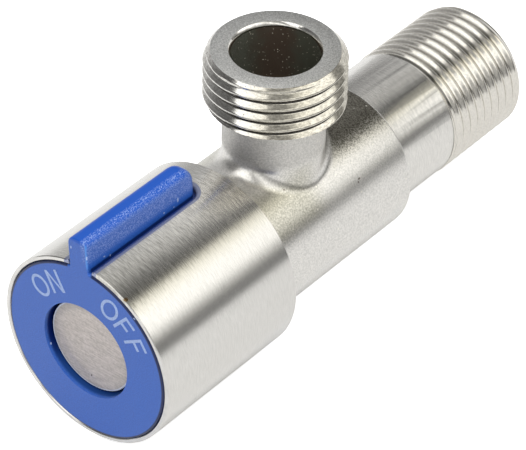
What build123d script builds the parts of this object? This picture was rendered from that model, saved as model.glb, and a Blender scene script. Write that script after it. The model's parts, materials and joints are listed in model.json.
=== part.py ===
from build123d import *
from math import cos, radians, sin
import os

# An angle valve for half-inch pipe. The inlet's end face is at the origin and looks along +Y,
# the outlet points up along +Z, and the handle is at the far end, towards -Y.
# All sizes are in millimetres. A station is a distance from the inlet's end face towards the handle.

# Pipe thread G 1/2, as a plain cylinder at its major diameter
thread_major_radius = 20.955 / 2
thread_lead_chamfer = 1.1

# Body, outside
inlet_thread_length = 17.75
inlet_neck_length = 13.05
inlet_neck_radius = 10.3
body_radius = 12.15
shoulder_to_outlet = 18.2
shoulder_edge_round = 0.5
shoulder_corner_round = 0.6
outlet_height = 29.65
outlet_thread_length = 8.45
outlet_neck_radius = 7.575
outlet_root_round = 2.6
outlet_edge_break = 0.15

# Body, inside
inlet_bore_radius = 6.5
seat_bore_radius = 5.2
seat_throat_length = 4.5
outlet_bore_radius = 6.4
outlet_bore_depth = 16.5
outlet_port_radius = 5.6
bore_mouth_chamfer = 0.35
chamber_radius = 9.3
seat_to_outlet = 8.5
cartridge_thread_radius = 10.0
cartridge_thread_length = 5.8

# Handle, outside
outlet_to_handle = 12.9
handle_length = 28.15
sleeve_wall = 0.7
sleeve_rim_break = 0.12
body_in_handle = 2.6
handle_turn = -3.7
sleeve_turn = -3.2
slot_play = 0.35
slot_edge_round = 0.45
handle_travel = 90.0
stop_play = 1.0
stop_direction = 90.0

# Handle core, one moulding
core_face_ahead = 0.1
core_edge_round = 0.3
core_plate_thickness = 2.2
core_skirt_wall = 1.95
cap_hole_radius = 7.7
cap_hole_flare = 0.05
well_wall = 1.8
well_depth = 8.7
web_thickness = 2.0
hub_wall = 1.4
rib_count = 6
rib_thickness = 1.5
fin_width = 3.4
fin_height = 4.4
fin_length = 23.1
fin_edge_round = 1.3
fin_back_round = 2.8
fin_front_round = 0.2

# Cap in the middle of the handle
cap_plate_radius = 7.4
cap_plate_thickness = 1.0
cap_plate_round = 0.15
cap_recess = 1.3
plug_flange_thickness = 1.2
plug_skirt_length = 1.4
plug_skirt_wall = 1.3

# Handle screw
screw_radius = 2.0
screw_length = 8.0
screw_head_radius = 3.7
screw_head_height = 2.3
screw_recess_width = 1.0
screw_recess_depth = 1.2
screw_hole_extra_depth = 1.5
screw_washer_radius = 3.9
screw_washer_thickness = 0.9
screw_hole_play = 0.2

# Ceramic discs and seat
seal_thickness = 2.0
seal_inner_radius = 5.4
disc_radius = 7.2
disc_thickness = 2.7
port_inner_radius = 1.8
port_spread = 80.0
moving_gap_spread = 84.0
drive_slot_width = 3.0
drive_slot_depth = 1.1
key_width = 2.4
key_inset = 0.3
carrier_thickness = 2.4
carrier_radius = 6.9
tongue_width = 4.0
tongue_height = 1.2

# Spindle
collar_radius = 6.9
collar_thickness = 1.6
thrust_washer_thickness = 0.6
spindle_radius = 4.5
spindle_groove_depth = 1.2
spindle_groove_width = 1.8
lower_groove_ahead = 3.2
groove_spacing = 5.0
clip_thickness = 0.8
clip_groove_depth = 0.6
clip_radius = 5.9
clip_opening = 70.0
spline_teeth = 20
spline_tip_radius = 4.1
spline_root_radius = 3.75
spline_end_gap = 0.15

# Cartridge housing
nose_wall = 1.0
nose_setback = 0.6
window_length = 4.6
window_width = 9.0
window_start = 4.6
land_length = 3.6
housing_groove_depth = 1.65
housing_groove_width = 2.2
hexagon_across_flats = 21.0
hexagon_corner_radius = 11.8
hexagon_length = 3.5
neck_radius = 6.1
neck_length = 2.5
lug_inner_radius = 6.7
lug_outer_radius = 8.6
lug_spread = 52.0
tab_floor_gap = 0.5
stop_ring_thickness = 1.6
insert_wall = 1.5

# Fits
turning_clearance = 0.05
slip_clearance = 0.1
seal_clearance = 0.02
handle_clearance = 0.3
lapped_gap = 0.02
stop_ring_gap = 0.6

# Stations along the main axis
shoulder = inlet_thread_length + inlet_neck_length
outlet_axis = shoulder + shoulder_to_outlet
handle_back = outlet_axis + outlet_to_handle
handle_front = handle_back + handle_length
body_front = handle_back + body_in_handle
cartridge_thread_start = body_front - cartridge_thread_length
land_start = cartridge_thread_start - land_length
land_middle = (land_start + cartridge_thread_start) / 2
seat = outlet_axis - seat_to_outlet
fixed_disc_back = seat + seal_thickness
moving_disc_back = fixed_disc_back + disc_thickness + lapped_gap
carrier_back = moving_disc_back + disc_thickness
collar_back = carrier_back + carrier_thickness
washer_back = collar_back + collar_thickness
thrust_face = washer_back + thrust_washer_thickness + turning_clearance
hexagon_front = body_front + hexagon_length
neck_front = hexagon_front + neck_length
clip_back = neck_front + slip_clearance
stop_ring_back = clip_back + clip_thickness + stop_ring_gap
insert_back = stop_ring_back + stop_ring_thickness + handle_clearance
core_face = handle_front + core_face_ahead
web_front = core_face - well_depth
web_back = web_front - web_thickness
spindle_front = web_back - spline_end_gap
spline_back = stop_ring_back - slip_clearance
cap_front = core_face - cap_recess
cap_back = cap_front - cap_plate_thickness
plug_flange_back = cap_back - plug_flange_thickness
plug_back = plug_flange_back - plug_skirt_length
washer_front = web_front + screw_washer_thickness

# Radii that follow from the fits
skirt_inner_radius = body_radius + handle_clearance
core_radius = skirt_inner_radius + core_skirt_wall
sleeve_inner_radius = core_radius + slip_clearance
handle_radius = sleeve_inner_radius + sleeve_wall
nose_inner_radius = disc_radius + slip_clearance
nose_radius = nose_inner_radius + nose_wall
land_radius = chamber_radius - turning_clearance
spindle_bore_radius = spindle_radius + turning_clearance
insert_radius = spline_tip_radius + insert_wall
hub_radius = insert_radius + hub_wall
well_outer_radius = cap_hole_radius + well_wall
spindle_groove_radius = spindle_radius - spindle_groove_depth
housing_groove_radius = land_radius - housing_groove_depth
fin_top = handle_radius + fin_height
fin_back = core_face - fin_length
slot_width = fin_width + 2 * slot_play

# Angles that follow from the travel
tab_spread = 180.0 - handle_travel - 2 * stop_play - lug_spread
lug_middle = stop_direction - stop_play - lug_spread / 2
tab_middle = stop_direction + tab_spread / 2

# Planes and axes
profile_plane = Plane(origin=(0, 0, 0), x_dir=(0, -1, 0), z_dir=(-1, 0, 0))
outlet_profile_plane = Plane(origin=(0, -outlet_axis, 0), x_dir=(1, 0, 0), z_dir=(0, -1, 0))
main_axis = Axis.Y
outlet_line = Axis((0, -outlet_axis, 0), (0, 0, 1))
fin_side_plane = Plane(
    origin=(0, 0, 0),
    x_dir=(0, -1, 0),
    z_dir=(-cos(radians(handle_turn)), 0, sin(radians(handle_turn))),
)
fin_line = Axis((0, 0, 0), fin_side_plane.y_dir)
slot_plane = Plane(
    origin=(0, 0, 0),
    x_dir=(0, -1, 0),
    z_dir=(sin(radians(sleeve_turn)), 0, cos(radians(sleeve_turn))),
)


def turned_ring(start, length, inner, outer):
    """A plain ring about the main axis."""
    with BuildPart() as ring:
        with BuildSketch(Plane.XZ.offset(start)):
            Circle(outer)
            Circle(inner, mode=Mode.SUBTRACT)
        extrude(amount=length)
    return ring.part


def seal_ring(middle, inner, outer):
    """An O-ring about the main axis, with its section between two radii."""
    section_radius = (outer - inner) / 2
    with BuildPart() as ring:
        with BuildSketch(profile_plane):
            with Locations((middle, inner + section_radius)):
                Circle(section_radius)
        revolve(axis=main_axis)
    return ring.part


def sector(inner, outer, middle, spread):
    """A piece of a ring, seen from the handle's front, angles counted anticlockwise from +X."""
    with BuildSketch(mode=Mode.PRIVATE) as piece:
        with BuildLine():
            near = CenterArc((0, 0), inner, middle - spread / 2, spread)
            far = CenterArc((0, 0), outer, middle - spread / 2, spread)
            Line(near @ 0, far @ 0)
            Line(near @ 1, far @ 1)
        make_face()
    return piece.sketch


def spline_outline(grow):
    """The toothed outline of the spindle's head, grown by a clearance."""
    step = 180.0 / spline_teeth
    corners = []
    for index in range(2 * spline_teeth):
        radius = (spline_root_radius if index % 2 else spline_tip_radius) + grow
        corners.append((radius * cos(radians(index * step)), radius * sin(radians(index * step))))
    with BuildSketch(mode=Mode.PRIVATE) as outline:
        with BuildLine():
            Polyline(*corners, close=True)
        make_face()
    return outline.sketch


os.makedirs("parts", exist_ok=True)

# Valve body: inlet tail, round body and outlet spout in one piece
with BuildPart() as valve_body:
    with BuildSketch(profile_plane):
        with BuildLine():
            Polyline(
                (0, 0),
                (0, thread_major_radius - thread_lead_chamfer),
                (thread_lead_chamfer, thread_major_radius),
                (inlet_thread_length, thread_major_radius),
                (inlet_thread_length, inlet_neck_radius),
                (shoulder, inlet_neck_radius),
                (shoulder, body_radius),
                (body_front, body_radius),
                (body_front, 0),
                close=True,
            )
        make_face()
    revolve(axis=main_axis)
    with BuildSketch(outlet_profile_plane):
        with BuildLine():
            Polyline(
                (0, 0),
                (outlet_neck_radius, 0),
                (outlet_neck_radius, outlet_height - outlet_thread_length),
                (thread_major_radius - outlet_edge_break, outlet_height - outlet_thread_length),
                (thread_major_radius, outlet_height - outlet_thread_length + outlet_edge_break),
                (thread_major_radius, outlet_height - thread_lead_chamfer),
                (thread_major_radius - thread_lead_chamfer, outlet_height),
                (0, outlet_height),
                close=True,
            )
        make_face()
    revolve(axis=outlet_line)
    fillet(valve_body.edges().filter_by(GeomType.BSPLINE), radius=outlet_root_round)
    shoulder_edges = valve_body.edges().filter_by(GeomType.CIRCLE).filter_by_position(
        Axis.Y, -shoulder - slip_clearance, -shoulder + slip_clearance
    )
    fillet(shoulder_edges.sort_by(SortBy.RADIUS)[-1], radius=shoulder_edge_round)
    shoulder_edges = valve_body.edges().filter_by(GeomType.CIRCLE).filter_by_position(
        Axis.Y, -shoulder - slip_clearance, -shoulder + slip_clearance
    )
    fillet(shoulder_edges.sort_by(SortBy.RADIUS)[0], radius=shoulder_corner_round)
    with BuildSketch(profile_plane):
        with BuildLine():
            Polyline(
                (0, 0),
                (0, inlet_bore_radius + bore_mouth_chamfer),
                (bore_mouth_chamfer, inlet_bore_radius),
                (seat - seat_throat_length, inlet_bore_radius),
                (seat - seat_throat_length + inlet_bore_radius - seat_bore_radius, seat_bore_radius),
                (seat, seat_bore_radius),
                (seat, chamber_radius),
                (cartridge_thread_start, chamber_radius),
                (cartridge_thread_start, cartridge_thread_radius),
                (body_front, cartridge_thread_radius),
                (body_front, 0),
                close=True,
            )
        make_face()
    revolve(axis=main_axis, mode=Mode.SUBTRACT)
    with BuildSketch(outlet_profile_plane):
        with BuildLine():
            Polyline(
                (0, 0),
                (outlet_port_radius, 0),
                (outlet_port_radius, outlet_height - outlet_bore_depth),
                (outlet_bore_radius, outlet_height - outlet_bore_depth),
                (outlet_bore_radius, outlet_height - bore_mouth_chamfer),
                (outlet_bore_radius + bore_mouth_chamfer, outlet_height),
                (0, outlet_height),
                close=True,
            )
        make_face()
    revolve(axis=outlet_line, mode=Mode.SUBTRACT)
valve_body.part.label = "valve_body"
export_step(valve_body.part, "parts/valve_body.step")

# Cartridge housing: nose around the discs, sealing land, thread, hexagon and neck with stop lugs
with BuildPart() as cartridge_housing:
    with BuildSketch(profile_plane):
        with BuildLine():
            Polyline(
                (seat + nose_setback, nose_inner_radius),
                (seat + nose_setback, nose_radius),
                (land_start - (land_radius - nose_radius), nose_radius),
                (land_start, land_radius),
                (cartridge_thread_start, land_radius),
                (cartridge_thread_start, cartridge_thread_radius - turning_clearance),
                (body_front, cartridge_thread_radius - turning_clearance),
                (body_front, neck_radius),
                (neck_front, neck_radius),
                (neck_front, spindle_bore_radius),
                (thrust_face, spindle_bore_radius),
                (thrust_face, nose_inner_radius),
                close=True,
            )
        make_face()
    revolve(axis=main_axis)
    with BuildSketch(Plane.XZ.offset(body_front)):
        RegularPolygon(hexagon_across_flats / 2, 6, major_radius=False)
        Circle(hexagon_corner_radius, mode=Mode.INTERSECT)
        Circle((neck_radius + spindle_bore_radius) / 2, mode=Mode.SUBTRACT)
    extrude(amount=hexagon_length)
    with BuildSketch(Plane.XZ.offset(hexagon_front)):
        for side in (0, 180):
            add(sector(lug_inner_radius, lug_outer_radius, side + lug_middle, lug_spread))
    extrude(amount=stop_ring_back - stop_ring_gap - hexagon_front)
    with BuildSketch(Plane.XZ.offset(land_middle - housing_groove_width / 2)):
        Circle(land_radius + slip_clearance)
        Circle(housing_groove_radius, mode=Mode.SUBTRACT)
    extrude(amount=housing_groove_width, mode=Mode.SUBTRACT)
    with BuildSketch(Plane.YZ):
        with Locations((-(seat + window_start + window_length / 2), 0)):
            Rectangle(window_length, window_width)
    extrude(amount=nose_radius, both=True, mode=Mode.SUBTRACT)
    with BuildSketch(Plane.XZ.offset(seat + nose_setback)):
        Rectangle(key_width + slip_clearance, 2 * nose_radius)
    extrude(amount=fixed_disc_back + disc_thickness - seat - nose_setback, mode=Mode.SUBTRACT)
cartridge_housing.part.label = "cartridge_housing"
export_step(cartridge_housing.part, "parts/cartridge_housing.step")

# Seals of the fixed body
housing_oring = seal_ring(
    land_middle,
    housing_groove_radius + seal_clearance,
    chamber_radius - seal_clearance,
)
housing_oring.label = "housing_oring"
export_step(housing_oring, "parts/housing_oring.step")
seat_seal = turned_ring(seat, seal_thickness, seal_inner_radius, disc_radius)
seat_seal.label = "seat_seal"
export_step(seat_seal, "parts/seat_seal.step")

# Fixed ceramic disc with two ports and two keys
with BuildPart() as fixed_disc:
    with BuildSketch(Plane.XZ.offset(fixed_disc_back)):
        Circle(disc_radius)
        Rectangle(key_width, 2 * (nose_radius - key_inset))
        for side in (0, 180):
            add(sector(port_inner_radius, seat_bore_radius, side, port_spread), mode=Mode.SUBTRACT)
    extrude(amount=disc_thickness)
fixed_disc.part.label = "fixed_disc"
export_step(fixed_disc.part, "parts/fixed_disc.step")

# Moving ceramic disc: two wings that cover the ports, and a drive slot across the front
with BuildPart() as moving_disc:
    with BuildSketch(Plane.XZ.offset(moving_disc_back)):
        Circle(disc_radius - turning_clearance)
        for side in (90, 270):
            add(sector(port_inner_radius, 2 * disc_radius, side, moving_gap_spread), mode=Mode.SUBTRACT)
    extrude(amount=disc_thickness)
    with BuildSketch(Plane.XZ.offset(carrier_back)):
        Rectangle(3 * disc_radius, drive_slot_width)
    extrude(amount=-drive_slot_depth, mode=Mode.SUBTRACT)
moving_disc.part.label = "moving_disc"
export_step(moving_disc.part, "parts/moving_disc.step")

# Disc carrier: a rib into the moving disc and a crosswise slot for the spindle's tongue
with BuildPart() as disc_carrier:
    with BuildSketch(Plane.XZ.offset(carrier_back)):
        Circle(carrier_radius)
    extrude(amount=carrier_thickness)
    with BuildSketch(Plane.XZ.offset(carrier_back)):
        Rectangle(2 * carrier_radius - drive_slot_width, drive_slot_width - slip_clearance)
    extrude(amount=-drive_slot_depth + slip_clearance)
    with BuildSketch(Plane.XZ.offset(collar_back)):
        Rectangle(tongue_width, 3 * carrier_radius)
    extrude(amount=-tongue_height, mode=Mode.SUBTRACT)
disc_carrier.part.label = "disc_carrier"
export_step(disc_carrier.part, "parts/disc_carrier.step")

# Spindle: tongue, thrust collar, two seal grooves, clip groove and splined head
lower_groove = thrust_face + lower_groove_ahead
upper_groove = lower_groove + groove_spacing
with BuildPart() as spindle:
    with BuildSketch(profile_plane):
        with BuildLine():
            Polyline(
                (collar_back, 0),
                (collar_back, collar_radius),
                (washer_back, collar_radius),
                (washer_back, spindle_radius),
                (lower_groove, spindle_radius),
                (lower_groove, spindle_groove_radius),
                (lower_groove + spindle_groove_width, spindle_groove_radius),
                (lower_groove + spindle_groove_width, spindle_radius),
                (upper_groove, spindle_radius),
                (upper_groove, spindle_groove_radius),
                (upper_groove + spindle_groove_width, spindle_groove_radius),
                (upper_groove + spindle_groove_width, spindle_radius),
                (clip_back - slip_clearance / 2, spindle_radius),
                (clip_back - slip_clearance / 2, spindle_radius - clip_groove_depth),
                (clip_back + clip_thickness + slip_clearance / 2, spindle_radius - clip_groove_depth),
                (clip_back + clip_thickness + slip_clearance / 2, spindle_radius),
                (spline_back, spindle_radius),
                (spline_back, 0),
                close=True,
            )
        make_face()
    revolve(axis=main_axis)
    with BuildSketch(Plane.XZ.offset(spline_back)):
        add(spline_outline(0))
    extrude(amount=spindle_front - spline_back)
    with BuildSketch(Plane.XZ.offset(collar_back)):
        Rectangle(tongue_width - slip_clearance, 2 * carrier_radius - tongue_width)
    extrude(amount=-tongue_height + slip_clearance)
    with BuildSketch(Plane.XZ.offset(spindle_front)):
        Circle(screw_radius + turning_clearance)
    extrude(amount=-(screw_length + screw_hole_extra_depth - web_thickness), mode=Mode.SUBTRACT)
spindle.part.label = "spindle"
export_step(spindle.part, "parts/spindle.step")

# Seals, washer and clip on the spindle
for label, groove in (("spindle_oring_lower", lower_groove), ("spindle_oring_upper", upper_groove)):
    oring = seal_ring(
        groove + spindle_groove_width / 2,
        spindle_groove_radius + seal_clearance,
        spindle_bore_radius - seal_clearance,
    )
    oring.label = label
    export_step(oring, f"parts/{label}.step")
thrust_washer_bore = spindle_radius + slip_clearance
thrust_washer = turned_ring(washer_back, thrust_washer_thickness, thrust_washer_bore, collar_radius)
thrust_washer.label = "thrust_washer"
export_step(thrust_washer, "parts/thrust_washer.step")
with BuildPart() as retaining_ring:
    with BuildSketch(Plane.XZ.offset(clip_back)):
        Circle(clip_radius)
        Circle(spindle_radius - clip_groove_depth + turning_clearance, mode=Mode.SUBTRACT)
        add(sector(spindle_groove_radius, 2 * clip_radius, 0, clip_opening), mode=Mode.SUBTRACT)
    extrude(amount=clip_thickness)
retaining_ring.part.label = "retaining_ring"
export_step(retaining_ring.part, "parts/retaining_ring.step")

# Stop ring: splined to the spindle, with two tabs that meet the housing's lugs
with BuildPart() as stop_ring:
    with BuildSketch(Plane.XZ.offset(stop_ring_back)):
        Circle(lug_outer_radius)
        add(spline_outline(turning_clearance), mode=Mode.SUBTRACT)
    extrude(amount=stop_ring_thickness)
    with BuildSketch(Plane.XZ.offset(hexagon_front + tab_floor_gap)):
        for side in (0, 180):
            add(sector(lug_inner_radius, lug_outer_radius, side + tab_middle, tab_spread))
    extrude(amount=stop_ring_back - hexagon_front - tab_floor_gap)
stop_ring.part.label = "stop_ring"
export_step(stop_ring.part, "parts/stop_ring.step")

# Splined insert in the handle's hub
with BuildPart() as spline_insert:
    with BuildSketch(Plane.XZ.offset(insert_back)):
        Circle(insert_radius)
        add(spline_outline(turning_clearance), mode=Mode.SUBTRACT)
    extrude(amount=web_back - insert_back)
spline_insert.part.label = "spline_insert"
export_step(spline_insert.part, "parts/spline_insert.step")

# Grip fin: a bar with a bent-down back end, all its long edges well rounded
fin_root = (skirt_inner_radius + core_radius) / 2
with BuildPart() as fin:
    with BuildSketch(fin_side_plane) as fin_side:
        with BuildLine():
            Polyline(
                (fin_back, fin_root),
                (fin_back, fin_top),
                (core_face, fin_top),
                (core_face, fin_root),
                close=True,
            )
        make_face()
        fillet(fin_side.vertices().sort_by(Axis.Y)[2:].sort_by(Axis.X)[0], radius=fin_back_round)
    extrude(amount=fin_width / 2, both=True)
    side_edges = fin.faces().filter_by(fin_side_plane).edges()
    fillet(side_edges.sort_by(fin_line)[2:].sort_by(Axis.Y)[2:], radius=fin_edge_round)
    front_edges = fin.faces().sort_by(Axis.Y)[0].edges()
    fillet(front_edges.sort_by(fin_line)[1:], radius=fin_front_round)

# Handle core: front ring, well for the cap, web, hub, skirt, ribs and the grip fin
with BuildPart() as handle_core:
    with BuildSketch(profile_plane) as core_section:
        with BuildLine():
            Polyline(
                (handle_back, skirt_inner_radius),
                (handle_back, core_radius),
                (core_face, core_radius),
                (core_face, cap_hole_radius + cap_hole_flare),
                (web_front, cap_hole_radius),
                (web_front, screw_radius + screw_hole_play),
                (web_back, screw_radius + screw_hole_play),
                (web_back, insert_radius),
                (insert_back, insert_radius),
                (insert_back, hub_radius),
                (web_back, hub_radius),
                (web_back, well_outer_radius),
                (core_face - core_plate_thickness, well_outer_radius),
                (core_face - core_plate_thickness, skirt_inner_radius),
                close=True,
            )
        make_face()
        fillet(core_section.vertices().sort_by_distance((core_face, core_radius))[0], radius=core_edge_round)
    revolve(axis=main_axis)
    with BuildSketch(Plane.XZ.offset(web_back)):
        with PolarLocations((well_outer_radius + skirt_inner_radius) / 2, rib_count):
            Rectangle(skirt_inner_radius - well_outer_radius + rib_thickness, rib_thickness)
    extrude(amount=core_face - core_plate_thickness - web_back)
    add(fin.part)
handle_core.part.label = "handle_core"
export_step(handle_core.part, "parts/handle_core.step")

# Handle sleeve: a tube with a slot for the fin, open at the front, its outer slot edge rolled in
with BuildPart() as handle_sleeve:
    with BuildSketch(Plane.XZ.offset(handle_back)):
        Circle(handle_radius)
        Circle(sleeve_inner_radius, mode=Mode.SUBTRACT)
    extrude(amount=handle_length)
    with BuildSketch(slot_plane):
        with Locations((fin_back - slot_play + slot_width / 2, 0)):
            Circle(slot_width / 2)
            Rectangle(fin_length, slot_width, align=(Align.MIN, Align.CENTER))
    extrude(amount=fin_top, mode=Mode.SUBTRACT)
    slot_line = Axis((0, 0, 0), slot_plane.z_dir)
    sleeve_middle_radius = (sleeve_inner_radius + handle_radius) / 2
    outer_edges = handle_sleeve.edges().filter_by_position(slot_line, sleeve_middle_radius, fin_top)
    fillet(outer_edges, radius=slot_edge_round)
    chamfer(handle_sleeve.edges().filter_by(GeomType.CIRCLE), length=sleeve_rim_break)
handle_sleeve.part.label = "handle_sleeve"
export_step(handle_sleeve.part, "parts/handle_sleeve.step")

# Handle screw with a cross recess, and its spring washer
with BuildPart() as handle_screw:
    with BuildSketch(profile_plane):
        with BuildLine():
            Polyline(
                (washer_front - screw_length, 0),
                (washer_front - screw_length, screw_radius),
                (washer_front, screw_radius),
                (washer_front, screw_head_radius),
                (washer_front + screw_head_height / 2, screw_head_radius),
                (washer_front + screw_head_height, screw_head_radius - screw_head_height / 2),
                (washer_front + screw_head_height, 0),
                close=True,
            )
        make_face()
    revolve(axis=main_axis)
    with BuildSketch(Plane.XZ.offset(washer_front + screw_head_height)):
        Rectangle(screw_head_radius, screw_recess_width)
        Rectangle(screw_recess_width, screw_head_radius)
    extrude(amount=-screw_recess_depth, mode=Mode.SUBTRACT)
handle_screw.part.label = "handle_screw"
export_step(handle_screw.part, "parts/handle_screw.step")
screw_washer = turned_ring(
    web_front, screw_washer_thickness, screw_radius + screw_hole_play, screw_washer_radius
)
screw_washer.label = "screw_washer"
export_step(screw_washer, "parts/screw_washer.step")

# Cap: a plug in the well, and a steel plate with a rounded edge on it
with BuildPart() as cap_plug:
    with BuildSketch(Plane.XZ.offset(plug_flange_back)):
        Circle(cap_hole_radius - slip_clearance)
    extrude(amount=plug_flange_thickness)
    with BuildSketch(Plane.XZ.offset(plug_back)):
        Circle(cap_hole_radius - slip_clearance)
        Circle(cap_hole_radius - slip_clearance - plug_skirt_wall, mode=Mode.SUBTRACT)
    extrude(amount=plug_skirt_length)
cap_plug.part.label = "cap_plug"
export_step(cap_plug.part, "parts/cap_plug.step")
with BuildPart() as cap_plate:
    with BuildSketch(Plane.XZ.offset(cap_back)):
        Circle(cap_plate_radius)
    extrude(amount=cap_plate_thickness)
    fillet(cap_plate.edges().sort_by(Axis.Y)[0], radius=cap_plate_round)
cap_plate.part.label = "cap_plate"
export_step(cap_plate.part, "parts/cap_plate.step")
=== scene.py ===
# %% [markdown]
# # An angle valve in stainless steel
# The valve stands between a half-inch pipe in the wall and a flexible hose. Its body, cartridge and
# handle are already there as solids at their real size, and nothing here moves or resizes them.
# What is left is what a solid model leaves out: the turns of both pipe threads, the two words on the
# blue ring, and the finish of every surface. The first cell loads the solids and keeps their box.

# %% Load the solids
import bmesh
import bpy
import json
from math import ceil, cos, hypot, pi, radians, sin, sqrt, tan
from mathutils import Matrix, Vector


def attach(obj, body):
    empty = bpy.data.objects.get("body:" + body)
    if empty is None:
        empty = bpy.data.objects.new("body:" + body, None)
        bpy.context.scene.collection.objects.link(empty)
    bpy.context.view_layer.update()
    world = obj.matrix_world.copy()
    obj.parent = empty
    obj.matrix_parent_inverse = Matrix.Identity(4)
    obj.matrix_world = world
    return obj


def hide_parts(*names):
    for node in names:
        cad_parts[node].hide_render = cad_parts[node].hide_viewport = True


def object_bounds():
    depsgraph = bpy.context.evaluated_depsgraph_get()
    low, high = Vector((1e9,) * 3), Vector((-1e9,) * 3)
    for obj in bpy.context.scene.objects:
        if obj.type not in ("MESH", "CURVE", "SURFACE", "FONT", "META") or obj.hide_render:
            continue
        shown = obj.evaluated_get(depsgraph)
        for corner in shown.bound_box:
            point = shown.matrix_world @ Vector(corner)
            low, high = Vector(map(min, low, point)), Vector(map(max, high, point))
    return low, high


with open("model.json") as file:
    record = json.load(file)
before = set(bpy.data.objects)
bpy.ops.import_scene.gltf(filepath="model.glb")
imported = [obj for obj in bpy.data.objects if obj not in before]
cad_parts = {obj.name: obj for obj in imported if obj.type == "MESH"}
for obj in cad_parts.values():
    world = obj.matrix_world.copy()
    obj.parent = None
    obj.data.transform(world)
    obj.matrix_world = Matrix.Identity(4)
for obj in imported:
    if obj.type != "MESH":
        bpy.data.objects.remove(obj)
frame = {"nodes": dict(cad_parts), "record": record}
cad_low, cad_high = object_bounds()
nodes = frame["nodes"]
print("solids:", len(nodes), "box in mm:", [round(1000 * s, 2) for s in cad_high - cad_low])

# %% [markdown]
# ## Sizes that the scene shares with the solids
# Everything is modelled in millimetres, because bmesh's own tolerances suit numbers near one, and is
# scaled to metres when it becomes an object. The places of the threads come from the record's mounts
# and from the solid itself, so that they stay right if the valve is made longer.

# %% Sizes from the record and the solids
MM = 0.001
mounts = {mount["name"]: mount for mount in frame["record"]["mounts"]}
thread_radius = mounts["outlet_thread"]["dims"]["r_mm"]
outlet_y = mounts["outlet_bore"]["pos_m"][1] / MM
outlet_top = mounts["outlet_face"]["pos_m"][2] / MM
outlet_bore_radius = mounts["outlet_bore"]["dims"]["r_mm"]
inlet_bore_radius = mounts["inlet_bore"]["dims"]["r_mm"]


def points_of(node):
    """The corners of a solid's mesh, in millimetres."""
    return [vert.co / MM for vert in nodes[node].data.vertices]


def off_inlet_line(point):
    """Distance from the line through the inlet and the handle."""
    return hypot(point.x, point.z)


def off_outlet_line(point):
    """Distance from the upright line through the outlet."""
    return hypot(point.x, point.y - outlet_y)


close = 0.01
body_points = points_of("valve_body")
body_radius = max(point.x for point in body_points)
inlet_crest = [p.y for p in body_points if abs(off_inlet_line(p) - thread_radius) < close]
above_body = body_radius + 1
outlet_crest = [
    p.z for p in body_points if abs(off_outlet_line(p) - thread_radius) < close and p.z > above_body
]
inlet_lead = -max(inlet_crest)
inlet_thread_length = -min(inlet_crest)
outlet_lead = outlet_top - max(outlet_crest)
outlet_thread_bottom = min(
    p.z for p in body_points
    if p.z > above_body and thread_radius - 1 < off_outlet_line(p) < thread_radius + close
)
inlet_neck_radius = max(
    off_inlet_line(p) for p in body_points if abs(p.y + inlet_thread_length) < close
    and off_inlet_line(p) < thread_radius - close
)
outlet_neck_radius = min(
    off_outlet_line(p) for p in body_points if abs(p.z - outlet_thread_bottom) < close
)
shoulder = max(p.y for p in body_points if off_inlet_line(p) > body_radius - close)
print("inlet thread", round(inlet_thread_length, 2), "neck", round(inlet_neck_radius, 2))
print("outlet thread from", round(outlet_thread_bottom, 2), "neck", round(outlet_neck_radius, 2))
print("shoulder at", round(shoulder, 2))

# %% [markdown]
# ## The camera
# The photograph looks down on the valve from the front right. A camera is placed by where it looks
# from: an azimuth, an elevation and a slight roll give three directions, and the distance and two
# small offsets give its place. They were fitted to the round edges of both threads and the handle.
# A long lens at half a metre gives the same mild perspective.

# %% Camera
azimuth, elevation, roll = radians(38.641), radians(39.129), radians(1.345)
camera_distance = 485.56
camera_right, camera_up = -1.276, -2.031
sensor_width = 36.0
photo_width = 526
focal_in_pixels = 3286.4
backwards = Vector(
    (sin(azimuth) * cos(elevation), -cos(azimuth) * cos(elevation), sin(elevation))
)
level_right = Vector((cos(azimuth), sin(azimuth), 0))
level_up = backwards.cross(level_right)
right = level_right * cos(roll) + level_up * sin(roll)
up = level_up * cos(roll) - level_right * sin(roll)
place = Vector((0, outlet_y, 0)) + backwards * camera_distance + right * camera_right + up * camera_up
camera_data = bpy.data.cameras.new("camera")
camera_data.sensor_width = sensor_width
camera_data.lens = focal_in_pixels * sensor_width / photo_width
camera_data.clip_start = 0.01
camera = bpy.data.objects.new("camera", camera_data)
camera.matrix_world = Matrix.Translation(place * MM) @ Matrix((right, up, backwards)).transposed().to_4x4()
bpy.context.scene.collection.objects.link(camera)
bpy.context.scene.camera = camera
bpy.context.scene.view_settings.view_transform = "Standard"
print("camera lens in mm:", round(camera_data.lens, 1))

# %% [markdown]
# ## Small helpers for shader nodes
# Every finish below is a short chain of nodes. One helper adds a node and fills its inputs with plain
# values or with other nodes' sockets. The others name what the finishes do again and again: calculate,
# make a soft mask, lay one colour over another, and measure a place on the piece. Written out each
# time, the nodes would hide what a finish is made of.

# %% Helpers for nodes
def put(tree, kind, inputs=(), **options):
    """Adds a shader node; inputs maps a socket's name or number to a value or to another socket."""
    node = tree.nodes.new("ShaderNode" + kind)
    for name, value in options.items():
        setattr(node, name, value)
    for name, value in dict(inputs).items():
        if isinstance(value, bpy.types.NodeSocket):
            tree.links.new(value, node.inputs[name])
        else:
            node.inputs[name].default_value = value
    return node


def calculate(tree, operation, *values):
    """A Math node's result, for one to three values."""
    return put(tree, "Math", dict(enumerate(values)), operation=operation).outputs[0]


def product(tree, *masks):
    """Masks multiplied together, which leaves the places where all of them hold."""
    result = masks[0]
    for mask in masks[1:]:
        result = calculate(tree, "MULTIPLY", result, mask)
    return result


def between(tree, value, low, high, start=0.0, end=1.0):
    """Turns a value that runs from low to high into one that runs smoothly from start to end."""
    inputs = {"Value": value, "From Min": low, "From Max": high, "To Min": start, "To Max": end}
    return put(tree, "MapRange", inputs, interpolation_type="SMOOTHSTEP").outputs["Result"]


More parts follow.
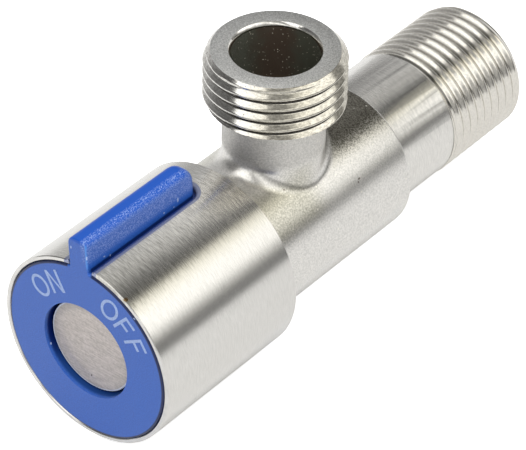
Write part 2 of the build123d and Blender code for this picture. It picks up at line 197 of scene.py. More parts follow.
def where(tree, *limits):
    """A mask of the places past every limit, each a value and the two ends of its soft edge."""
    return product(tree, *(between(tree, *limit) for limit in limits))


def opaque(colour):
    """A colour with the alpha that a socket wants; another socket stays as it is."""
    return colour if isinstance(colour, bpy.types.NodeSocket) else (*colour, 1)


def blend_colours(tree, amount, first, second):
    """The first colour where the amount is 0 and the second where it is 1."""
    return put(tree, "Mix", {0: amount, 6: opaque(first), 7: opaque(second)}, data_type="RGBA").outputs[2]


def coated(tree, colour, *coats):
    """Lays coats over a colour, each given by its mask and its own colour."""
    for mask, coat in coats:
        colour = blend_colours(tree, mask, colour, coat)
    return colour


noise_span = (0.3, 0.7)


def toned(tree, height, tones, span=noise_span):
    """Two tones that follow a noise or a place."""
    return blend_colours(tree, between(tree, height, *span), *tones)


def noise(tree, place, scale, detail, roughness=0.5):
    """Cloudy noise, most of which lies within noise_span."""
    inputs = {"Vector": place, "Scale": scale, "Detail": detail, "Roughness": roughness}
    return put(tree, "TexNoise", inputs).outputs[0]


def relief(tree, height, strength, depth=0.02):
    """The normal of a fine relief, whose depth is given in millimetres."""
    return put(tree, "Bump", {"Height": height, "Strength": strength, "Distance": depth * MM}).outputs[0]


# %% Helpers for places on a piece
def object_place(tree, scale=(1, 1, 1)):
    """The point's place on its own object in millimetres, stretched by a scale."""
    place = put(tree, "TexCoord").outputs["Object"]
    size = [s / MM for s in scale]
    return put(tree, "Mapping", {"Vector": place, "Scale": size}, vector_type="POINT").outputs[0]


def object_axes(tree):
    """The point's X, Y and Z on its own object, in millimetres."""
    return put(tree, "SeparateXYZ", {0: object_place(tree)}).outputs


def off_main_axis(tree, axes):
    """Distance from the line through the inlet and the handle."""
    flat = put(tree, "CombineXYZ", {"X": axes["X"], "Z": axes["Z"]}).outputs[0]
    return put(tree, "VectorMath", {0: flat}, operation="LENGTH").outputs["Value"]


def ragged_edge(tree, value, height, amount):
    """Pushes a value to and fro by a noise, so that a mask made of it has a ragged edge."""
    return calculate(tree, "MULTIPLY_ADD", height, amount, calculate(tree, "ADD", value, -amount / 2))


# %% [markdown]
# ## Helpers for materials, groups and objects
# A material here ends in one Principled shader, whose constants are set on its own sockets. An effect
# that several finishes share is a node group, built once and placed in each material with its own
# values. Its nodes could be copied into each material, but then every change would have to be made
# many times. The last helper makes an object of a finished bmesh.

# %% Helpers for materials, groups and objects
def new_material(name):
    """An empty node material and its tree."""
    material = bpy.data.materials.new(name)
    material.use_nodes = True
    material.node_tree.nodes.clear()
    return material, material.node_tree


def surface(tree, **inputs):
    """Ends a material with one Principled shader; an underscore in a name stands for a space."""
    shader = put(tree, "BsdfPrincipled", {n.replace("_", " "): v for n, v in inputs.items()})
    put(tree, "OutputMaterial", {"Surface": shader.outputs[0]})


def new_group(name, inputs, outputs):
    """A node group with its named inputs and outputs, and its two end nodes."""
    group = bpy.data.node_groups.new(name, "ShaderNodeTree")
    for label, kind in inputs:
        group.interface.new_socket(name=label, in_out="INPUT", socket_type="NodeSocket" + kind)
    for label, kind in outputs:
        group.interface.new_socket(name=label, in_out="OUTPUT", socket_type="NodeSocket" + kind)
    return group, group.nodes.new("NodeGroupInput").outputs, group.nodes.new("NodeGroupOutput").inputs


def use_group(tree, group, **inputs):
    """Places a node group; an underscore in a name stands for a space."""
    return put(tree, "Group", {n.replace("_", " "): v for n, v in inputs.items()}, node_tree=group).outputs


def new_object(bm, name, materials):
    """Turns a bmesh into an object of the scene, and frees the bmesh."""
    mesh = bpy.data.meshes.new(name)
    bm.to_mesh(mesh)
    bm.free()
    for material in materials:
        mesh.materials.append(material)
    made = bpy.data.objects.new(name, mesh)
    bpy.context.scene.collection.objects.link(made)
    return made


# %% [markdown]
# ## The studio
# Metal has hardly any colour of its own: it shows what stands around it. A product photographer puts
# steel on a white table in a tent with bright softboxes, and the dark gaps beside them draw the lines
# along a tube that make it read as steel. The tent here is a wide tube round the valve's own axis that
# only reflections see. One ramp by angle lays out the bands behind the valve, which its long tubes
# show, and a second one those in front, which the upright outlet shows. They blend along the axis, and
# the softboxes end a metre behind the valve. A lamp could stand in for each band, but a ramp says in
# one list where each of them starts and ends.

# %% Studio tent, seen by reflections only
tent_radius, tent_length, tent_level = 1.2, 6.0, 1.6
# Angle from straight up towards +X, brightness, and warmth from -1 (cool) to 1 (warm)
bands_behind = [
    (-180, 0.62, 0.0), (-128, 0.62, 0.0), (-100, 0.50, 0.0), (-62, 0.32, 0.0), (-38, 0.42, 0.0),
    (-16, 0.55, 0.2), (0, 0.42, 0.3), (10, 0.19, 0.2), (24, 0.06, 0.3), (31, 0.75, 1.6),
    (40, 1.05, 1.0), (48, 1.10, 0.3), (62, 1.05, 0.3), (72, 0.45, 0.4), (79, 0.13, 0.2),
    (89, 0.12, 0.0), (96, 0.30, -0.2), (180, 0.62, 0.0),
]
bands_in_front = [
    (-180, 0.62, 0.0), (-110, 0.38, 0.0), (-88, 0.18, 0.0), (-62, 0.12, 0.0), (-40, 0.07, 0.0),
    (-33, 0.20, 0.1), (-30, 1.10, 0.2), (14, 1.10, 0.2), (17, 0.34, 0.3), (24, 0.26, 0.3),
    (37, 0.28, 0.3), (44, 0.95, 0.3), (55, 0.90, 0.3), (62, 0.35, 0.3), (86, 0.28, 0.0),
    (96, 0.40, 0.0), (180, 0.62, 0.0),
]
front_end, back_start = -0.55, 0.25
box_end, box_fade, beyond_box = 1.0, 0.3, 0.22
warm_shift = (0.02, 0.0, -0.09)
tent_bm = bmesh.new()
bmesh.ops.create_cone(
    tent_bm, cap_ends=False, segments=96, radius1=tent_radius, radius2=tent_radius, depth=tent_length
)
bmesh.ops.rotate(tent_bm, verts=tent_bm.verts, matrix=Matrix.Rotation(radians(90), 3, "X"))
tent_material, tree = new_material("studio_tent")
tent = new_object(tent_bm, "studio_tent", [tent_material])
tent.visible_camera = tent.visible_diffuse = tent.visible_shadow = tent.visible_transmission = False
axes = put(tree, "SeparateXYZ", {0: put(tree, "TexCoord").outputs["Object"]}).outputs
angle = calculate(tree, "ARCTAN2", axes["X"], axes["Z"])
turn = calculate(tree, "MULTIPLY_ADD", angle, 0.5 / pi, 0.5)


def band_ramp(bands):
    """A colour ramp round the tent from a list of bands."""
    ramp = put(tree, "ValToRGB", {0: turn})
    stops = ramp.color_ramp.elements
    for degrees_round, level, warmth in bands[1:-1]:
        stops.new((degrees_round + 180) / 360)
    for stop, (degrees_round, level, warmth) in zip(stops, bands):
        stop.color = [level * (1 + shift * warmth) for shift in warm_shift] + [1]
    return ramp.outputs["Color"]


behind = between(tree, axes["Y"], front_end, back_start)
light = blend_colours(tree, behind, band_ramp(bands_in_front), band_ramp(bands_behind))
strength = between(tree, axes["Y"], box_end, box_end + box_fade, tent_level, tent_level * beyond_box)
glow = put(tree, "Emission", {"Color": light, "Strength": strength})
put(tree, "OutputMaterial", {"Surface": glow.outputs[0]})
print("tent bands:", len(bands_behind), "behind and", len(bands_in_front), "in front")

# %% [markdown]
# ## Table, surroundings and lamp
# The table is a sheet of white paper. The camera should see pure white, and the steel should see some
# of it too, but more light would bleach the valve. So the paper's own glow depends on who looks: Light
# Path tells camera rays and mirror rays from the light that falls on things. A round lamp, which
# mirrors don't see, lights the plastic and lays a faint shadow.

# %% Table
table_half = 2.5
camera_lift, mirror_lift = 0.75, 0.14
lift_reach = -20.0
paper_tones = (0.9, 0.9, 0.9), (0.93, 0.93, 0.93)
table_z = cad_low.z
table_bm = bmesh.new()
bmesh.ops.create_grid(table_bm, x_segments=1, y_segments=1, size=table_half)
bmesh.ops.translate(table_bm, verts=table_bm.verts, vec=(0, 0, table_z))
table_material, tree = new_material("table_paper")
table = new_object(table_bm, "table", [table_material])
rays = put(tree, "LightPath").outputs
mirrors = calculate(tree, "MAXIMUM", rays["Is Glossy Ray"], rays["Is Transmission Ray"])
in_mirrors = product(tree, mirrors, between(tree, object_axes(tree)["X"], 0.0, lift_reach, 0.0, mirror_lift))
lift = calculate(tree, "MULTIPLY_ADD", rays["Is Camera Ray"], camera_lift, in_mirrors)
paper = blend_colours(tree, noise(tree, object_place(tree), 2.0, 3.0), *paper_tones)
surface(
    tree, Base_Color=paper, Roughness=0.9, Specular_IOR_Level=0.1,
    Emission_Color=(1, 1, 1, 1), Emission_Strength=lift,
)
print("table at", round(table_z / MM, 2), "mm")

# %% White surroundings and a round lamp
fill_level = 0.55
world = bpy.data.worlds.new("surroundings")
world.use_nodes = True
tree = world.node_tree
tree.nodes.clear()
rays = put(tree, "LightPath").outputs
seen = calculate(tree, "MAXIMUM", rays["Is Camera Ray"], rays["Is Glossy Ray"])
seen = calculate(tree, "MAXIMUM", seen, rays["Is Transmission Ray"])
level = calculate(tree, "MULTIPLY_ADD", seen, 1 - fill_level, fill_level)
put(tree, "OutputWorld", {0: put(tree, "Background", {"Color": (1, 1, 1, 1), "Strength": level}).outputs[0]})
bpy.context.scene.world = world

lamp_place = Vector((0.4, -0.42, 1.2))
lamp_data = bpy.data.lights.new("softbox", "AREA")
lamp_data.shape = "DISK"
lamp_data.size = 0.9
lamp_data.energy = 12.0
lamp = bpy.data.objects.new("softbox", lamp_data)
lamp.location = lamp_place
lamp.rotation_euler = lamp_place.to_track_quat("Z", "Y").to_euler()
lamp.visible_glossy = False
lamp.visible_camera = False
bpy.context.scene.collection.objects.link(lamp)
print("lamp", round(lamp_place.length, 2), "m away")

# %% [markdown]
# ## Effects that several finishes share
# Machined and brushed metal differ in the size and direction of the same fine grooves. One group turns
# a stretched place into grooves: their height, for the bump, and a mask of broad patches, because no
# brushing is even. A second group scatters specks, and a third marks one place with a ragged spot, for
# the pits, stains and scuffs that this valve has from lying loose in a box. Painted textures could
# show the same, but nodes stay sharp at any distance.

# %% Group: grooves left by a brush or a tool
grooves_group, given, result = new_group(
    "grooves", [("Place", "Vector"), ("Patch Scale", "Float")], [("Height", "Float"), ("Patches", "Float")]
)
tree = grooves_group
patch_edge = (0.35, 0.65)
patches = between(tree, noise(tree, given["Place"], given["Patch Scale"], 2.0), *patch_edge)
tree.links.new(noise(tree, given["Place"], 1.0, 4.0, 0.65), result["Height"])
tree.links.new(patches, result["Patches"])

# %% Group: scattered specks
specks_group, given, result = new_group(
    "specks", [("Place", "Vector"), ("Share", "Float")], [("Mask", "Float")]
)
tree = specks_group
least_reach, more_reach = 0.06, 0.1
cells = put(tree, "TexVoronoi", {"Vector": given["Place"], "Scale": 1.0}).outputs
chance = put(tree, "SeparateColor", {0: cells["Color"]}).outputs
chosen = calculate(tree, "LESS_THAN", chance["Red"], given["Share"])
reach = calculate(tree, "MULTIPLY_ADD", chance["Green"], more_reach, least_reach)
dot = between(tree, calculate(tree, "DIVIDE", cells["Distance"], reach), 1.3, 0.7)
tree.links.new(product(tree, dot, chosen), result["Mask"])


def specked(tree, colour, scale, share, speck_colour):
    """Lays small specks over a colour; scale is the number of cells to a millimetre."""
    mask = use_group(tree, specks_group, Place=object_place(tree, (scale,) * 3), Share=share)[0]
    return blend_colours(tree, mask, colour, speck_colour), mask


# %% Group: one ragged mark at a place
mark_group, given, result = new_group(
    "mark",
    [("Place", "Vector"), ("Centre", "Vector"), ("Stretch", "Vector"), ("Ragged", "Float")],
    [("Mask", "Float")],
)
tree = mark_group
offset = put(tree, "VectorMath", {0: given["Place"], 1: given["Centre"]}, operation="SUBTRACT").outputs[0]
scaled = put(tree, "VectorMath", {0: offset, 1: given["Stretch"]}, operation="DIVIDE").outputs[0]
reach = put(tree, "VectorMath", {0: scaled}, operation="LENGTH").outputs["Value"]
rough = noise(tree, given["Place"], 5.0, 4.0, 0.7)
push = product(tree, calculate(tree, "SUBTRACT", rough, 0.5), given["Ragged"])
tree.links.new(between(tree, calculate(tree, "ADD", reach, push), 1.1, 0.8), result["Mask"])


def marked(tree, marks, ragged):
    """A mask of marks, each given by its middle and its half-size along X, Y and Z."""
    place, mask = object_place(tree), 0.0
    for centre, size in marks:
        one = use_group(tree, mark_group, Place=place, Centre=centre, Stretch=size, Ragged=ragged)[0]
        mask = calculate(tree, "MAXIMUM", mask, one)
    return mask


# %% [markdown]
# ## Steel finishes
# Brushed steel has fine grooves round its axis: the noise is squeezed along Y and stretched across
# it. Such grooves also spread a reflection along the axis but keep it crisp round the tube, and the
# shader's anisotropy, with a tangent that runs radially round Y, says exactly that. The tail's thread
# is worn smooth and shines. The outlet's is freshly turned: its right side is painted darker and
# warmer, a painted shade, and painted shade near black lies between its turns, where the mesh carries
# an attribute for it. The ends are faced flat.

# %% Steel with grooves
quarter_turn = 0.25
steel_patches = 0.3


def round_tangent(tree):
    """A tangent that runs round Y."""
    return put(tree, "Tangent", direction_type="RADIAL", axis="Y").outputs[0]


def two_tones(base, contrast):
    """A darker and a lighter tone of a colour."""
    return [[min(1.0, part * (1 + side * contrast)) for part in base] for side in (-1, 1)]


def steel(name, stretch, base, roughness, spread, bump, contrast, anisotropic=0.0):
    """Steel with grooves: stretch is the noise's scale along X, Y and Z for each millimetre."""
    material, tree = new_material(name)
    grooves = use_group(
        tree, grooves_group, Place=object_place(tree, stretch), Patch_Scale=steel_patches
    )
    inputs = {
        "Base_Color": toned(tree, grooves["Height"], two_tones(base, contrast)),
        "Metallic": 1.0,
        "Roughness": calculate(tree, "MULTIPLY_ADD", grooves["Patches"], spread, roughness - spread / 2),
        "Normal": relief(tree, grooves["Height"], bump),
    }
    if anisotropic:
        inputs.update(Tangent=round_tangent(tree), Anisotropic=anisotropic, Anisotropic_Rotation=quarter_turn)
    surface(tree, **inputs)
    return material


tail_steel = steel(
    "brushed_tail", stretch=(0.8, 7.0, 0.8), base=(0.7, 0.685, 0.65), roughness=0.25, spread=0.0,
    bump=0.03, contrast=0.12, anisotropic=0.5,
)
worn_steel = steel(
    "worn_thread", stretch=(4.0, 4.0, 4.0), base=(0.69, 0.665, 0.61), roughness=0.17, spread=0.04,
    bump=0.06, contrast=0.12,
)
face_steel = steel(
    "faced_end", stretch=(5.0, 5.0, 5.0), base=(0.59, 0.59, 0.58), roughness=0.6, spread=0.1,
    bump=0.5, contrast=0.3,
)
spring_steel = steel(
    "spring_steel", stretch=(3.0, 3.0, 3.0), base=(0.42, 0.42, 0.43), roughness=0.3, spread=0.1,
    bump=0.3, contrast=0.15,
)
brass = steel(
    "turned_brass", stretch=(0.2, 8.0, 0.2), base=(0.78, 0.56, 0.27), roughness=0.25, spread=0.1,
    bump=0.3, contrast=0.15,
)
print("steel and brass:", [m.name for m in (tail_steel, worn_steel, face_steel, spring_steel, brass)])

# %% The outlet's thread
turned_grain = (1.6, 1.6, 5.0)
bare_tones = (0.54, 0.52, 0.49), (0.86, 0.85, 0.81)
# The right side is painted darker and warmer, a painted shade
right_shade_tones = (0.42, 0.4, 0.35), (0.66, 0.63, 0.55)
right_shade_edge, right_shade_ragged = (3.0, 7.0), 4.0
# Painted shade near black between the turns, and dark specks
groove_shade_colour, oil_speck = (0.05, 0.047, 0.042), (0.12, 0.11, 0.09)

thread_steel, tree = new_material("turned_thread")
height = use_group(tree, grooves_group, Place=object_place(tree, turned_grain))["Height"]
bare, right_shade = toned(tree, height, bare_tones), toned(tree, height, right_shade_tones, patch_edge)
# Painted shade on the right side, with a ragged edge
across = calculate(tree, "MULTIPLY_ADD", height, right_shade_ragged, object_axes(tree)["X"])
colour = blend_colours(tree, between(tree, across, *right_shade_edge), bare, right_shade)
colour, speck = specked(tree, colour, scale=1.8, share=0.3, speck_colour=oil_speck)
# The attribute lays painted shade between the turns
oil = put(tree, "Attribute", attribute_name="oil").outputs["Fac"]
colour = blend_colours(tree, between(tree, oil, *noise_span), colour, groove_shade_colour)
surface(tree, Base_Color=colour, Metallic=1.0, Roughness=0.13, Normal=relief(tree, height, 0.2))

# %% [markdown]
# ## The cast body
# The body was poured, then belted along its barrel, which leaves a satin shine. The belt can't reach
# everywhere: the neck stays matt, and it is painted a little darker, a painted shade. Behind the outlet
# the top of the body is painted dark, a painted shade, and in front of it a patch of the barrel is
# painted darker, a painted shade too. Specks lie all over the body. Each of these is one mask by place
# that lays its own tones over the steel. Patches of the mesh could carry a material each, but the real
# ones have ragged, fading edges. The few pits are marks at their own places.

# %% Cast steel
cast_grain = (4.0, 4.0, 4.0)
neck_edge = (body_radius + 0.5, body_radius + 2.5)
# Painted shade on the top behind the outlet, and on a patch of the barrel in front of it
outlet_shade_edge, outlet_shade_ragged = (radians(40), radians(24)), 0.5
outlet_shade_start = (outlet_y + 2, outlet_y + 9)
front_shade_end = (outlet_y + 2, outlet_y - 3)
front_shade_top, front_shade_bottom = (radians(20), radians(34)), (radians(66), radians(54))
belted_tones = (0.57, 0.56, 0.53), (0.82, 0.8, 0.765)
outlet_shade_tones = (0.08, 0.075, 0.06), (0.3, 0.285, 0.25)
front_shade_tones = (0.34, 0.33, 0.28), (0.66, 0.64, 0.57)
# A little painted shade on the neck
neck_shade_colour, neck_shade_share = (0.2, 0.195, 0.19), 0.15
belted_roughness, neck_roughness, outlet_shade_roughness = 0.28, 0.6, 0.1
# The middle of each pit in the casting and its half-size along X, Y and Z
casting_pits = (
    ((6.38, -54.3, 10.54), (0.14, 0.14, 0.14)),
    ((10.3, -41.7, 6.5), (0.2, 0.1, 0.3)),
    ((10.1, -41.3, 6.8), (0.1, 0.3, 0.2)),
)
pit_colour, pit_share = (0.12, 0.08, 0.06), 0.75

satin_steel, tree = new_material("satin_body")
axes = object_axes(tree)
height = use_group(tree, grooves_group, Place=object_place(tree, cast_grain))["Height"]
on_neck = between(tree, axes["Z"], *neck_edge)
round_body = calculate(tree, "ARCTAN2", calculate(tree, "ABSOLUTE", axes["X"]), axes["Z"])
ragged = ragged_edge(tree, round_body, height, outlet_shade_ragged)
# Painted shade behind the outlet, and a patch of painted shade on the barrel in front of it
behind_outlet = where(tree, (ragged, *outlet_shade_edge), (axes["Y"], *outlet_shade_start))
outlet_shade = product(tree, behind_outlet, calculate(tree, "SUBTRACT", 1.0, on_neck))
dimmed = where(
    tree, (axes["Y"], *front_shade_end), (round_body, *front_shade_top), (round_body, *front_shade_bottom),
    (on_neck, 0, 1, 1, 0),
)
# Over the belted tones: painted shade behind the outlet, in front of it and on the neck
colour = coated(
    tree, toned(tree, height, belted_tones),
    (outlet_shade, toned(tree, height, outlet_shade_tones)),
    (dimmed, toned(tree, height, front_shade_tones)),
    (product(tree, on_neck, neck_shade_share), neck_shade_colour),
)
colour, speck = specked(tree, colour, scale=1.1, share=0.25, speck_colour=(0.85, 0.83, 0.75))
pits = product(tree, marked(tree, casting_pits, ragged=0.8), pit_share)
colour = blend_colours(tree, pits, colour, pit_colour)
rough = between(tree, on_neck, 0, 1, belted_roughness, neck_roughness)
rough = calculate(tree, "MULTIPLY_ADD", outlet_shade, outlet_shade_roughness, rough)
normal = relief(tree, calculate(tree, "MULTIPLY_ADD", speck, 0.5, height), 0.4)
surface(tree, Base_Color=colour, Metallic=1.0, Roughness=rough, Normal=normal)
print("casting pits:", len(casting_pits))

# %% [markdown]
# ## The bore
# Nothing polishes the inside of the casting. It keeps a brown stain that runs down its far side,
# greenish grey beside that, and bright grains of the mould. Towards its left, as the camera sees it,
# it is paler in patches. A dark, barely metallic colour with fine bright specks shows all of it. A
# plain black would look like a hole in the picture.

# %% Stained bore
stain_ragged, stain_edge = 6.0, (1.0, 5.0)
brown_stain, green_stain, pale_tone = (0.085, 0.062, 0.045), (0.085, 0.088, 0.065), (0.16, 0.165, 0.135)
pale_side = (-2.0, -6.0)
bright_grain = (0.95, 0.9, 0.75)

bore_steel, tree = new_material("stained_bore")
axes, place = object_axes(tree), object_place(tree)
stain, fine = noise(tree, place, 0.5, 3.0), noise(tree, place, 5.0, 3.0)
along_view = product(tree, calculate(tree, "SUBTRACT", axes["Y"], outlet_y), sin(azimuth))
across = calculate(tree, "MULTIPLY_ADD", axes["X"], cos(azimuth), along_view)
sides = ragged_edge(tree, calculate(tree, "ABSOLUTE", across), stain, stain_ragged)
colour = toned(tree, sides, (brown_stain, green_stain), stain_edge)
# Paler in patches towards the left, as the camera sees it
paler = toned(tree, across, (colour, pale_tone), pale_side)
colour = toned(tree, fine, (colour, paler), patch_edge)
colour, speck = specked(tree, colour, scale=2.1, share=0.95, speck_colour=bright_grain)
rough = between(tree, stain, *noise_span, 0.35, 0.5)
normal = relief(tree, speck, 0.4, depth=0.05)
surface(tree, Base_Color=colour, Metallic=0.3, Roughness=rough, Normal=normal)

# %% [markdown]
# ## The handle's sleeve
# The sleeve is a tube that was brushed while it turned, so its grooves run round the axis. Noise on
# X, Y and Z would show them as waves where the tube turns away, so the place is unrolled first: the
# angle round the tube and the length along it make a flat sheet. On the top the grain is stronger,
# and the colour is painted darker towards the front and lighter towards the rear: painted shade and
# light. The edge round the slot was rolled in by a tool that left it smooth. It shows the blue of the
# fin beside it, so a bluish painted reflection of the fin lies on it.

# %% Places and tones on the sleeve
slot_turn = radians(-3.2)
slot_half, slot_play, slot_roll, roll_fade = 2.05, 0.35, 0.9, 0.06
grooves_round, grooves_along = 9.0, 5.2
# The top: stronger grain, painted darker towards the front and lighter towards the rear, painted shade and
# light
top_shading_right, top_shading_left = (radians(37), radians(29)), (radians(-12), radians(0))
top_shading_ragged, top_shading_length = 0.2, 22
even_tones = (0.61, 0.6, 0.57), (0.71, 0.695, 0.665)
front_tones = (0.34, 0.335, 0.31), (0.68, 0.665, 0.63)
rear_tones = (0.52, 0.51, 0.49), (0.9, 0.88, 0.84)
# The rolled edge carries a painted reflection of the blue fin
fin_reflection_colour, sleeve_roughness, rolled_roughness = (0.31, 0.34, 0.48), 0.24, 0.4
rim_stain, rim_stain_colour = ((7.4, -89.8, 13.3), (0.4, 0.4, 0.25)), (0.3, 0.2, 0.1)
core_points = points_of("handle_core")
ring_front = min(point.y for point in core_points)
fin_back = max(point.y for point in core_points if point.z > body_radius + 5)
slot_centre_y = fin_back + slot_play - slot_half


def behind_ring(low, high):
    """A soft edge that runs from one distance behind the ring's front to another."""
    return ring_front + low, ring_front + high


print("ring front", round(ring_front, 2), "slot centre", round(slot_centre_y, 2))

# %% The smooth edge round the slot, straight with a round back end, with a painted reflection of the fin
sleeve_steel, tree = new_material("brushed_sleeve")
axes = object_axes(tree)
turned = calculate(tree, "MULTIPLY", axes["Z"], -sin(slot_turn))
sideways = calculate(tree, "MULTIPLY_ADD", axes["X"], cos(slot_turn), turned)
past_end = calculate(tree, "MAXIMUM", calculate(tree, "SUBTRACT", axes["Y"], slot_centre_y), 0.0)
squares = [product(tree, side, side) for side in (sideways, past_end)]
off_slot = calculate(tree, "SQRT", calculate(tree, "ADD", *squares))
reach = slot_half + slot_roll
rolled_edge_reflection = between(tree, off_slot, reach + roll_fade, reach - roll_fade)
rolled_edge_reflection = product(tree, rolled_edge_reflection, calculate(tree, "GREATER_THAN", axes["Z"], 0.0))

# %% Brushed sleeve
angle = calculate(tree, "ARCTAN2", axes["X"], axes["Z"])
sheet = {"X": product(tree, angle, grooves_round), "Y": product(tree, axes["Y"], grooves_along)}
height = use_group(tree, grooves_group, Place=put(tree, "CombineXYZ", sheet).outputs[0])["Height"]
ragged = ragged_edge(tree, angle, height, top_shading_ragged)
top_shading = where(tree, (ragged, *top_shading_right), (ragged, *top_shading_left))
top_shading_tones = toned(tree, height, front_tones), toned(tree, height, rear_tones)
# Painted shade and light on the top, and a painted reflection of the fin on the rolled edge
colour = coated(
    tree, toned(tree, height, even_tones),
    (top_shading, toned(tree, axes["Y"], top_shading_tones, behind_ring(0, top_shading_length))),
    (rolled_edge_reflection, fin_reflection_colour),
    (marked(tree, [rim_stain], ragged=2.0), rim_stain_colour),
)
rough = between(tree, rolled_edge_reflection, 0, 1, sleeve_roughness, rolled_roughness)
normal = relief(tree, product(tree, height, calculate(tree, "SUBTRACT", 1.0, rolled_edge_reflection)), 0.03)
surface(
    tree, Base_Color=colour, Metallic=1.0, Roughness=rough, Normal=normal,
    Tangent=round_tangent(tree), Anisotropic=0.6, Anisotropic_Rotation=quarter_turn,
)

# %% [markdown]
# ## The cap's plate
# A small steel disc closes the hole in the middle of the handle. It was brushed straight along X, then
# lay loose, so it is matt and mottled with one pit. Its rounded rim meets the blue plastic, and a thin
# bluish line on it is a painted highlight. Masks by the distance from the axis make the rim, because a
# bevel this small would need many faces to show the same.

# %% Brushed plate
plate_radius = max(off_inlet_line(point) for point in points_of("cap_plate"))
plate_grain = (0.5, 5.0, 5.0)
mottle_share, plate_span = 0.8, (0.6, 1.2)
plate_tones = (0.36, 0.33, 0.305), (0.58, 0.53, 0.5)
plate_pit, plate_pit_colour = ((-0.1, -88.87, -5.5), (0.13, 0.5, 0.15)), (0.06, 0.05, 0.05)
rim_band = (plate_radius - 1.9, plate_radius - 1.0)
# A thin bluish painted highlight along the rim
rim_highlight_band, rim_highlight_colour = (plate_radius - 0.35, plate_radius - 0.2), (0.7, 0.75, 0.85)

plate_steel, tree = new_material("brushed_plate")
off_axis = off_main_axis(tree, object_axes(tree))
grooves = use_group(tree, grooves_group, Place=object_place(tree, plate_grain))["Height"]
mottle = noise(tree, object_place(tree), 3.0, 4.0, 0.7)
height = calculate(tree, "MULTIPLY_ADD", mottle, mottle_share, grooves)
colour = coated(
    tree, toned(tree, height, plate_tones, plate_span),
    (marked(tree, [plate_pit], ragged=1.0), plate_pit_colour),
    (between(tree, off_axis, *rim_highlight_band), rim_highlight_colour),
)
metallic = between(tree, between(tree, off_axis, *rim_band), 0, 1, 1.0, 0.1)
surface(tree, Base_Color=colour, Metallic=metallic, Roughness=0.4, Normal=relief(tree, height, 0.25))
print("plate radius", round(plate_radius, 2))

# %% [markdown]
# ## Plastic, rubber and ceramic
# The inner pieces are hidden while the valve is whole, but each still has its own finish for when it
# is taken apart. Moulded and pressed things have no grain direction, so one function with a faint
# mottle in the colour and in the shine makes plastic, rubber, ceramic and printing ink.

# %% Moulded and pressed materials
shine_span = (0.2, 0.8)


def moulded(name, base, roughness, mottle, bump):
    """A plastic, rubber, ceramic or ink with a faint mottle in its colour and a fine grain."""
    material, tree = new_material(name)
    fine = noise(tree, object_place(tree), 4.0, 4.0, 0.7)
    rough = between(tree, fine, *shine_span, roughness - 0.05, roughness + 0.05)
    surface(
        tree, Base_Color=toned(tree, fine, two_tones(base, mottle)), Roughness=rough,
        Normal=relief(tree, fine, bump, depth=0.01),
    )
    return material


white_plastic = moulded("white_plastic", (0.85, 0.84, 0.8), roughness=0.4, mottle=0.04, bump=0.3)
ceramic = moulded("white_ceramic", (0.88, 0.87, 0.84), roughness=0.12, mottle=0.03, bump=0.05)
rubber = moulded("black_rubber", (0.02, 0.02, 0.021), roughness=0.55, mottle=0.2, bump=0.5)
ink = moulded("pale_ink", (0.31, 0.42, 0.7), roughness=0.5, mottle=0.15, bump=0.3)
print("moulded:", [m.name for m in (white_plastic, ceramic, rubber, ink)])

# %% [markdown]
# ## The handle's blue plastic
# The ring, the grip fin and the wall round the cap are one moulding. Its colour changes with place:
# the fin's top is painted a deeper blue, a painted light, and shines less; its right side carries pale
# specks of painted sparkle; painted highlights lie along its right top edge and its front corner. The
# wall of the cap's hole lies in shade, and so do the gap beside the fin and the crack between ring and
# sleeve. Light alone would shade the gaps, but they are narrower than the soft studio can show, so the
# colour helps with painted shade. The last masks lay pale scuffs on the edges that fingers and other
# valves have rubbed.

# %% Places on the handle
fin_turn = radians(-3.7)
at_face = 0.1
above_slot = 17
hole_radius = min(off_inlet_line(p) for p in core_points if abs(p.y - ring_front) < at_face)
ring_radius = max(off_inlet_line(p) for p in core_points if abs(p.y - ring_front) < at_face and p.z < 0)
fin_half = max(point.x - point.z * sin(fin_turn) for point in core_points if point.z > above_slot)
# The middle of each scuff and its half-size along X, Y and Z
scuffs = (
    ((-0.6, -89.95, 19.4), (0.35, 0.1, 0.15)),
    ((-2.3, -90.1, 17.6), (0.12, 0.1, 0.25)),
    ((0.55, -90.1, 17.1), (0.1, 0.1, 0.3)),
    ((0.75, -86.7, 15.4), (0.1, 0.18, 0.12)),
    ((0.75, -85.5, 14.9), (0.1, 0.12, 0.2)),
    ((0.8, -84.4, 14.0), (0.1, 0.15, 0.2)),
    ((0.7, -74.1, 15.4), (0.1, 0.14, 0.14)),
    ((0.7, -72.0, 15.2), (0.1, 0.14, 0.1)),
    ((0.7, -71.1, 15.9), (0.1, 0.14, 0.5)),
    ((9.3, -90.1, 11.1), (0.35, 0.1, 0.2)),
    ((-6.9, -89.6, -3.0), (0.3, 0.2, 0.2)),
)
print("ring radius", round(ring_radius, 2), "hole radius", round(hole_radius, 2))
print("half fin", round(fin_half, 2), "scuffs", len(scuffs))

# %% Masks on the fin: painted light on its top, painted sparkle on its right side, painted highlights on its edge and corner
fin_top, flank, flank_foot, sparkle_span = (18.7, 19.2), (0.5, 1.2), (15.6, 16.4), (0.5, 0.58, 0, 0.75)
edge_highlight_from, edge_highlight_to, edge_highlight_up, edge_highlight_span = (0.5, 0.9), (1.5, 1.2), (18.0, 18.6), (0.48, 0.6, 0, 0.6)
corner_place, corner_width, corner_up = fin_half - 0.15, (0.2, 0.05), (14.8, 15.6, 0, 0.7)

blue_plastic, tree = new_material("blue_plastic")
sideways, along, up = object_axes(tree)
fine = noise(tree, object_place(tree), 6.0, 3.0, 0.6)
off_axis = off_main_axis(tree, {"X": sideways, "Z": up})
sideways = calculate(tree, "MULTIPLY_ADD", up, -sin(fin_turn), sideways)
